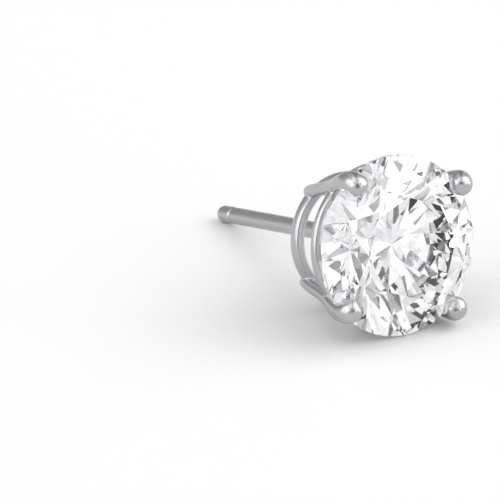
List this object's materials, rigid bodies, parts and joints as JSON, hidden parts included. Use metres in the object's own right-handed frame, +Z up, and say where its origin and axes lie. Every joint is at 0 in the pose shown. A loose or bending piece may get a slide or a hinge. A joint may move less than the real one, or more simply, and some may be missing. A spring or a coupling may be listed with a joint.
{
  "type": "stud earring",
  "caption": "Stud earring: a round brilliant-cut stone held by claw prongs in an open wire basket, on a straight friction post.",
  "frame": {"origin": "middle of the bounding box's base, on the surface that the stud lies on", "axes": "+Z up; the stone's face looks to -Y and up, and the post runs to +Y and down; the stud lies on the girdle and the post's tip"},
  "size_m": [0.008, 0.0162, 0.0079],
  "materials": {
    "white_gold": "polished, rhodium plated",
    "clear_stone": "faceted and polished, colourless"
  },
  "bodies": {
    "root": {"setting": "white_gold", "stone": "clear_stone"}
  },
  "joints": []
}
